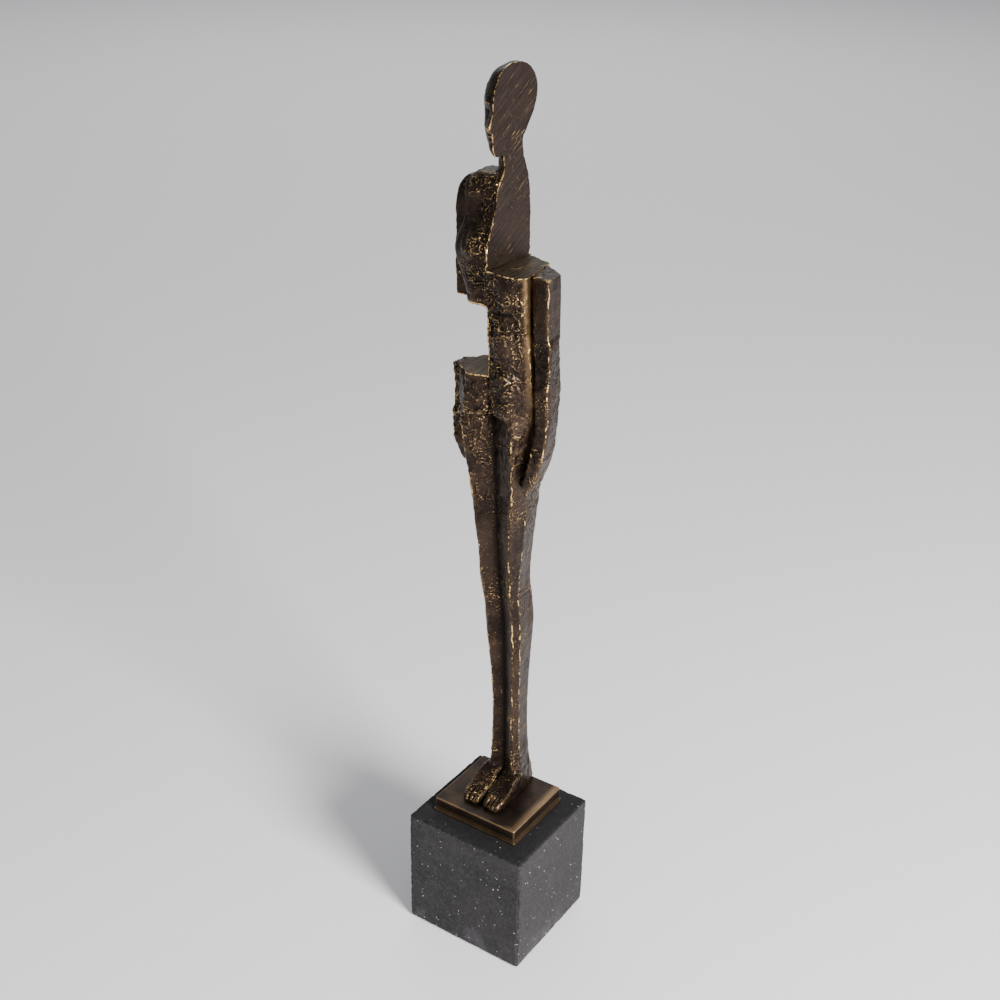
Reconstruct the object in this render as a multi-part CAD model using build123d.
"""Standing bronze figure in sliced halves, on a bronze plate and a stone plinth block.

The origin is the middle of the underside and +Z is up. The figure faces -Y, and its own
left side is +X. One vertical saw plane, SLICE_X, parts the figure into a right and a left
half. Above the chest cut only the right half stands. Between the hip cut and the notch
only the left half stands.
"""
from build123d import *
import os

# Stone block and the felt pads let into its underside
BLOCK_X = 100.0
BLOCK_Y = 93.4
BLOCK_TOP = 98.9
BLOCK_EDGE = 1.8
PAD_PROUD = 0.6
PAD_SINK = 1.0
PAD_RADIUS = 7.0
PAD_INSET = 12.0

# Bronze plate: a slab over a thin backing sheet that shows as a lip
SHEET_X = 73.4
SHEET_Y = 66.2
SHEET_THICKNESS = 1.8
SLAB_X = 71.2
SLAB_Y = 64.1
SLAB_THICKNESS = 10.0
SLAB_EDGE = 0.9
SLAB_CORNER = 1.5
PLATE_X = -2.2
PLATE_Y = 2.0

# Two M6 studs hold figure, plate and stone together
STUD_RADIUS = 3.0
STUD_CLEARANCE = 0.3
STONE_HOLE_RADIUS = 4.0
STUD_APART = 18.0
STUD_Y = 14.0
STUD_BOTTOM = 4.5
STUD_IN_FOOT = 18.0
POCKET_X = 46.0
POCKET_Y = 24.0
POCKET_DEPTH = 16.0
WASHER_RADIUS = 8.0
WASHER_THICKNESS = 1.6
SPRING_RADIUS = 5.4
SPRING_THICKNESS = 1.6
NUT_ACROSS_FLATS = 10.0
NUT_HEIGHT = 5.0

# Planes that slice the figure
SLICE_X = -4.0
OVERLAP = 7.0
SOLE = BLOCK_TOP + SHEET_THICKNESS + SLAB_THICKNESS
ANKLE = 130.0
KNEE_SEAM = 284.0
CROTCH = 426.0
HIP_CUT = 454.0
ELBOW_SEAM = 485.0
NOTCH = 500.0
CHEST_CUT = 524.0
HEAD_TOP = 645.0
RIGHT = -1
LEFT = 1

# Leg sections from the ankle up. Each row is a height, then points from the groove
# between the legs round to the back: groove y, crest (out, y), side (out, y) and
# back (out, y). "out" is the distance from the slice plane.
ANKLE_ROW = (ANKLE, 12.4, (10.4, 6.0), (13.4, 14.0), (12.0, 31.0))
KNEE_ROW = (KNEE_SEAM, 3.2, (11.6, -3.4), (14.8, 3.4), (13.6, 23.0))
SHIN = [
    ANKLE_ROW,
    (146.0, 12.5, (9.4, 7.4), (11.8, 14.0), (11.0, 29.5)),
    (171.0, 12.0, (8.6, 7.0), (11.2, 13.5), (10.4, 27.8)),
    (195.0, 11.3, (8.5, 6.4), (11.4, 12.2), (10.8, 27.0)),
    (230.0, 9.0, (10.0, 4.0), (13.6, 9.2), (12.4, 26.4)),
    (255.0, 7.0, (10.6, 1.4), (14.8, 6.4), (13.8, 25.6)),
    KNEE_ROW,
]
THIGH = [
    KNEE_ROW,
    (300.0, 1.0, (12.4, -6.0), (15.4, 2.6), (13.6, 20.8)),
    (337.0, -3.0, (14.2, -10.0), (18.2, 2.6), (16.4, 21.0)),
    (365.0, -5.2, (16.6, -12.6), (21.4, 0.0), (19.2, 21.4)),
    (400.0, -8.4, (19.2, -17.3), (27.0, -4.0), (23.0, 21.2)),
    (CROTCH, -9.6, (18.6, -19.6), (30.4, -6.0), (25.0, 20.4)),
]
LEG_FILLET = 2.4

# Trunk sections. Each row is a height, then mid front y, crest (out, y), front corner
# (out, y), back corner (out, y) and mid back y.
HIP_ROW = (HIP_CUT, -15.0, (14.2, -21.0), (30.2, -8.0), (24.4, 14.0), 21.0)
HIPS = [
    (CROTCH, -12.0, (16.0, -20.0), (30.6, -7.0), (25.0, 15.0), 20.4),
    (440.0, -14.2, (15.0, -21.2), (31.2, -7.4), (25.0, 14.0), 20.6),
    HIP_ROW,
]
WAIST = [
    HIP_ROW,
    (470.0, -15.2, (14.0, -19.4), (29.4, -10.0), (22.0, 14.0), 21.4),
    (488.0, -16.6, (15.0, -20.4), (28.8, -14.6), (21.4, 15.0), 23.6),
    (505.0, -17.2, (16.0, -22.0), (28.8, -17.4), (22.0, 16.0), 28.4),
    (CHEST_CUT, -17.6, (17.0, -23.4), (29.0, -20.4), (23.0, 17.0), 32.6),
]
CHEST = [
    (NOTCH, -17.2, (11.0, -18.6), (19.0, -16.2), (21.4, 15.0), 27.6),
    (508.0, -17.4, (12.0, -19.0), (19.4, -16.4), (22.6, 15.6), 29.4),
    (516.0, -17.6, (13.0, -19.4), (21.4, -16.6), (24.4, 16.4), 31.2),
    (528.0, -17.8, (14.0, -20.4), (27.0, -17.0), (27.0, 17.4), 33.0),
    (541.0, -17.0, (14.0, -19.0), (26.8, -16.0), (28.4, 17.6), 33.6),
    (552.0, -14.0, (13.0, -14.4), (24.2, -12.2), (28.6, 17.4), 33.4),
    (566.0, -9.6, (13.0, -10.6), (26.0, -10.4), (28.4, 17.0), 31.2),
    (574.0, -6.4, (12.0, -8.4), (25.0, -8.0), (27.4, 16.0), 28.4),
    (580.0, -2.4, (10.0, -3.0), (21.0, -1.6), (22.0, 14.0), 25.0),
]
TRUNK_FILLET = 4.6

# Arm sections, corner by corner: front inner, front outer, back outer, back inner, and the
# bottom of the groove between arm and body. Here x is the true x.
ELBOW_ROW = (
    ELBOW_SEAM, (27.4, -13.4), (38.8, -15.2), (37.4, 2.0), (16.0, 15.4), (24.0, -8.0)
)
LEFT_UPPER_ARM = [
    ELBOW_ROW,
    (505.0, (26.2, -13.4), (38.4, -15.4), (37.0, 2.0), (16.0, 16.4), (22.0, -9.0)),
    (CHEST_CUT, (25.2, -13.4), (38.2, -15.6), (36.6, 1.8), (16.0, 17.6), (20.0, -9.0)),
]
LEFT_FOREARM = [
    (378.0, (17.4, -9.6), (25.4, -11.4), (26.4, -4.0), (13.0, 2.0), (16.0, -6.0)),
    (386.0, (21.4, -11.6), (30.4, -13.8), (31.4, -1.0), (15.0, 6.0), (19.0, -4.0)),
    (398.0, (25.4, -13.0), (35.0, -15.0), (34.8, 1.4), (18.0, 10.0), (24.0, -3.0)),
    (412.0, (28.0, -13.0), (38.6, -15.2), (37.0, 2.0), (19.0, 12.4), (26.4, -3.0)),
    (434.0, (29.4, -13.0), (40.4, -15.4), (38.6, 2.6), (20.0, 13.6), (27.6, -3.4)),
    (460.0, (28.6, -13.2), (40.2, -15.4), (38.4, 2.4), (19.0, 14.0), (26.6, -5.0)),
    ELBOW_ROW,
]
RIGHT_UPPER_ARM = [
    (499.0, (-26.0, -6.0), (-36.6, -7.6), (-36.6, 12.4), (-22.0, 15.6), (-22.0, -2.0)),
    (516.0, (-26.0, -6.0), (-37.2, -8.0), (-37.2, 13.0), (-24.0, 16.6), (-24.0, -2.0)),
    (540.0, (-26.0, -6.6), (-37.0, -8.0), (-37.2, 14.4), (-24.0, 17.8), (-24.0, -2.0)),
    (560.0, (-26.0, -8.0), (-37.0, -8.0), (-37.2, 15.4), (-24.0, 18.4), (-24.0, -2.0)),
    (570.0, (-25.0, -8.6), (-35.0, -6.8), (-35.0, 15.0), (-23.0, 17.8), (-23.0, -2.0)),
    (577.5, (-23.0, -5.0), (-29.6, -3.0), (-29.6, 12.4), (-21.0, 15.8), (-21.0, -1.0)),
]
RIGHT_HAND = [
    (385.0, (-25.4, -8.4), (-31.0, -6.6), (-30.6, -1.0), (-22.0, 5.0), (-23.0, -4.0)),
    (397.0, (-28.0, -8.8), (-36.4, -8.6), (-36.0, 1.8), (-24.0, 9.0), (-26.0, -4.0)),
    (412.0, (-30.6, -8.8), (-38.4, -8.8), (-38.2, 3.2), (-25.0, 12.0), (-28.0, -4.0)),
    (430.0, (-31.4, -8.6), (-37.6, -8.8), (-37.2, 3.4), (-26.0, 13.0), (-29.0, -4.0)),
    (HIP_CUT, (-31.4, -8.8), (-39.0, -9.6), (-38.8, 3.0), (-26.0, 13.4), (-29.0, -4.0)),
]
ARM_FILLET = 1.9

# Neck and head: height, front y, back y, half width
NECK = [
    (574.0, -6.0, 25.0, 13.0),
    (583.0, -2.6, 21.0, 9.6),
    (592.0, -3.4, 17.4, 9.0),
    (602.0, -6.0, 18.4, 10.0),
]
HEAD = [
    (592.0, -12.0, 5.0, 5.4),
    (598.0, -14.4, 15.0, 9.6),
    (607.0, -15.4, 23.4, 12.8),
    (617.0, -15.8, 30.0, 15.2),
    (627.0, -15.2, 32.6, 16.0),
    (636.0, -11.6, 29.0, 14.4),
    (642.0, -5.0, 22.0, 10.0),
    (HEAD_TOP, 3.4, 13.4, 4.6),
]
NOSE = [(606.5, -14.0, 2.6, 7.4), (609.5, -16.4, 2.3, 6.6), (618.5, -14.8, 1.3, 2.6)]

# The foot is a wedge from the toes back (y, height above the sole plane, width) and a heel
# with the same outline as the leg above it
FOREFOOT = [
    (-20.8, 4.2, 12.0),
    (-16.4, 6.8, 15.6),
    (-7.0, 10.0, 16.6),
    (2.0, 14.4, 15.4),
    (14.0, 17.0, 13.0),
]
HEEL = [
    (SOLE, 4.0, (13.0, -4.0), (17.0, 8.0), (12.6, 35.6)),
    (120.0, 9.0, (11.4, 1.0), (15.0, 12.0), (12.4, 34.0)),
    ANKLE_ROW,
]
FOOT_GAP = 0.5
FOOT_FILLET = 1.8

FAR = 400.0


def save(name, shape):
    """Write one sub-part as its own STEP file."""
    shape.label = name
    export_step(shape, os.path.join("parts", name + ".step"))


def rounded_section(z, corners, radius):
    """A level outline at height z with every corner rounded."""
    face = make_face(Polyline(*corners, close=True))
    return Pos(0, 0, z) * fillet(face.vertices(), radius)


def half_space(side):
    """Everything on one side of the slice plane."""
    return Pos(SLICE_X + side * FAR / 2, 0, FAR) * Box(FAR, FAR, 3 * FAR)


def leg(side, rows):
    """One stretch of a leg: a crest down its front and a groove next to the other leg."""
    sections = []
    for z, groove_y, crest, flank, back in rows:
        points = [(-OVERLAP, groove_y + OVERLAP / 2), crest, flank, back]
        points.append((-OVERLAP, back[1] - 1.0))
        corners = [(SLICE_X + side * out, y) for out, y in points]
        sections.append(rounded_section(z, corners, LEG_FILLET))
    return loft(sections) & half_space(side)


def trunk(side, rows):
    """One half of the trunk between two levels."""
    sections = []
    for z, front_y, crest, corner, back, back_y in rows:
        points = [(-2 * OVERLAP, front_y), crest, corner, back, (-2 * OVERLAP, back_y)]
        corners = [(SLICE_X + side * out, y) for out, y in points]
        sections.append(rounded_section(z, corners, TRUNK_FILLET))
    return loft(sections) & half_space(side)


def limb(rows):
    """An arm or hand through five-cornered sections."""
    return loft([rounded_section(z, corners, ARM_FILLET) for z, *corners in rows])


def oval(z, front_y, back_y, half_width):
    """A level ellipse between two depths, centred on the slice plane."""
    middle = Pos(SLICE_X, (front_y + back_y) / 2, z)
    return middle * Ellipse(half_width, (back_y - front_y) / 2)


def head_and_neck():
    """A plain egg-shaped head with a nose, on a round neck."""
    skull = loft([oval(*row) for row in HEAD])
    neck = loft([oval(*row) for row in NECK])
    wedges = []
    for z, front_y, half_width, depth in NOSE:
        middle = Pos(SLICE_X, front_y - half_width / 2 + depth / 2, z)
        wedges.append(middle * Rectangle(2 * half_width, depth + half_width))
    return skull + neck + loft(wedges, ruled=True)


def foot(side):
    """A long simple foot: a wedge of a forefoot and a heel, tapped for its stud."""
    middle = SLICE_X + side * (FOOT_GAP + FOREFOOT[2][2] / 2)
    sections = []
    for y, height, width in FOREFOOT:
        place = Plane(origin=(middle, y, SOLE + height / 2), x_dir=(1, 0, 0), z_dir=(0, -1, 0))
        sections.append(place * RectangleRounded(width, height, FOOT_FILLET))
    body = loft(sections) + leg(side, HEEL)
    return body - stud_hole(side, STUD_RADIUS, SOLE, SOLE + STUD_IN_FOOT)


def stud_hole(side, radius, bottom, top):
    """A round rod between two heights on one stud's axis."""
    x = SLICE_X + side * STUD_APART / 2
    return Pos(x, STUD_Y, (bottom + top) / 2) * Cylinder(radius, top - bottom)


def stud_pair(radius, bottom, top):
    """The same rod on both stud axes."""
    return [stud_hole(side, radius, bottom, top) for side in (RIGHT, LEFT)]


def stone_block():
    """The stone, drilled for the studs, with a pocket for their nuts and four pad seats."""
    height = BLOCK_TOP - PAD_PROUD
    stone = Pos(0, 0, PAD_PROUD + height / 2) * Box(BLOCK_X, BLOCK_Y, height)
    stone = fillet(stone.edges(), BLOCK_EDGE)
    pocket = Pos(SLICE_X, STUD_Y, PAD_PROUD + POCKET_DEPTH / 2)
    stone -= pocket * extrude(SlotOverall(POCKET_X, POCKET_Y), POCKET_DEPTH / 2, both=True)
    for hole in stud_pair(STONE_HOLE_RADIUS, PAD_PROUD, BLOCK_TOP):
        stone -= hole
    return stone - felt_pads()


def felt_pads():
    """Four round pads that carry the block just clear of the table."""
    place_x = BLOCK_X / 2 - PAD_INSET
    place_y = BLOCK_Y / 2 - PAD_INSET
    height = PAD_PROUD + PAD_SINK
    pads = []
    for x in (-place_x, place_x):
        for y in (-place_y, place_y):
            pads.append(Pos(x, y, height / 2) * Cylinder(PAD_RADIUS, height))
    return pads


def plate(width, depth, bottom, thickness, edge):
    """A flat rectangular plate with softened top edges and two stud holes."""
    middle = Pos(PLATE_X, PLATE_Y, bottom)
    slab = middle * extrude(RectangleRounded(width, depth, SLAB_CORNER), thickness)
    slab = fillet(slab.faces().sort_by(Axis.Z)[-1].edges(), edge)
    for hole in stud_pair(STUD_RADIUS + STUD_CLEARANCE, bottom, bottom + thickness):
        slab -= hole
    return slab


def ring_pair(outer, thickness, bottom):
    """Two flat rings, one on each stud."""
    rings = []
    for rod, hole in zip(
        stud_pair(outer, bottom, bottom + thickness),
        stud_pair(STUD_RADIUS, bottom, bottom + thickness),
    ):
        rings.append(rod - hole)
    return rings


def nut_pair(bottom):
    """Two hexagon nuts, one on each stud."""
    nuts = []
    for side in (RIGHT, LEFT):
        x = SLICE_X + side * STUD_APART / 2
        hexagon = RegularPolygon(NUT_ACROSS_FLATS / 2, 6, major_radius=False)
        nut = Pos(x, STUD_Y, bottom) * extrude(hexagon, NUT_HEIGHT)
        nuts.append(nut - stud_hole(side, STUD_RADIUS, bottom, bottom + NUT_HEIGHT))
    return nuts


def main():
    os.makedirs("parts", exist_ok=True)

    save("stone_block", stone_block())
    save("felt_pads", Compound(children=felt_pads()))
    save("plate_backing_sheet", plate(SHEET_X, SHEET_Y, BLOCK_TOP, SHEET_THICKNESS, 0.5))
    slab_bottom = BLOCK_TOP + SHEET_THICKNESS
    save("bronze_plate", plate(SLAB_X, SLAB_Y, slab_bottom, SLAB_THICKNESS, SLAB_EDGE))

    pocket_top = PAD_PROUD + POCKET_DEPTH
    washer_bottom = pocket_top - WASHER_THICKNESS
    spring_bottom = washer_bottom - SPRING_THICKNESS
    nut_bottom = spring_bottom - NUT_HEIGHT
    studs = stud_pair(STUD_RADIUS, STUD_BOTTOM, SOLE + STUD_IN_FOOT)
    save("studs", Compound(children=studs))
    save("washers", Compound(children=ring_pair(WASHER_RADIUS, WASHER_THICKNESS, washer_bottom)))
    springs = ring_pair(SPRING_RADIUS, SPRING_THICKNESS, spring_bottom)
    save("spring_washers", Compound(children=springs))
    save("nuts", Compound(children=nut_pair(nut_bottom)))

    legs = {}
    for side, name in ((RIGHT, "right"), (LEFT, "left")):
        save(name + "_foot", foot(side))
        save(name + "_shin", leg(side, SHIN))
        legs[side] = leg(side, THIGH)
        save(name + "_thigh", legs[side])

    hips = trunk(RIGHT, HIPS) + trunk(LEFT, HIPS)
    save("hips", hips)
    waist = trunk(LEFT, WAIST)
    save("waist_and_left_chest", waist)
    chest = trunk(RIGHT, CHEST)
    head = head_and_neck() & half_space(RIGHT)
    save("right_chest", chest)
    save("head_and_neck", head - chest)

    save("left_upper_arm", limb(LEFT_UPPER_ARM) - waist)
    save("left_forearm_and_hand", limb(LEFT_FOREARM) - waist - hips - legs[LEFT])
    save("right_upper_arm", limb(RIGHT_UPPER_ARM) - chest - head)
    save("right_hand", limb(RIGHT_HAND) - hips - legs[RIGHT])


main()
